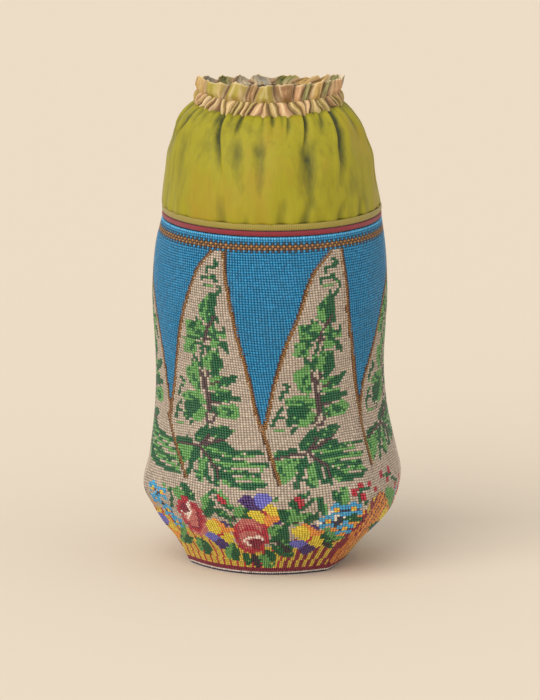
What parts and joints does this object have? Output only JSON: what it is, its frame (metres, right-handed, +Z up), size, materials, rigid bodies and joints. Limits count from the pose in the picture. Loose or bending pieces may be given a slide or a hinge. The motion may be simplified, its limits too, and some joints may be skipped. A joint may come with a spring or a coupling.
{
  "type": "drawstring bag",
  "caption": "Knitted bead drawstring bag: tall body swelling to a soft-cornered flat base, gathered silk top, crimson binding, ruched drawstring casing and ruffled mouth.",
  "frame": {"origin": "middle of the bag's outline on the underside of its base", "axes": "+Z up through the mouth, front towards -Y, +X to the right of the front"},
  "size_m": [0.142, 0.136, 0.2716],
  "materials": {
    "base_beads": "knitted glass seed beads, dark red and gold",
    "beadwork": "knitted glass seed beads, blue ground with pale leaf panels and a flower garland",
    "crimson_braid": "fine ribbed crimson binding",
    "hem_silk": "flat turned hem of chartreuse silk",
    "chartreuse_silk": "plain-weave silk with a soft sheen",
    "faded_silk": "shot silk, faded to salmon and cream on the ridges"
  },
  "bodies": {
    "root": {"beaded_base": "base_beads", "beaded_body": "beadwork", "crimson_binding": "crimson_braid", "silk_hem": "hem_silk", "silk_top": "chartreuse_silk", "drawstring_casing": "faded_silk", "ruffle": "faded_silk"}
  },
  "joints": []
}
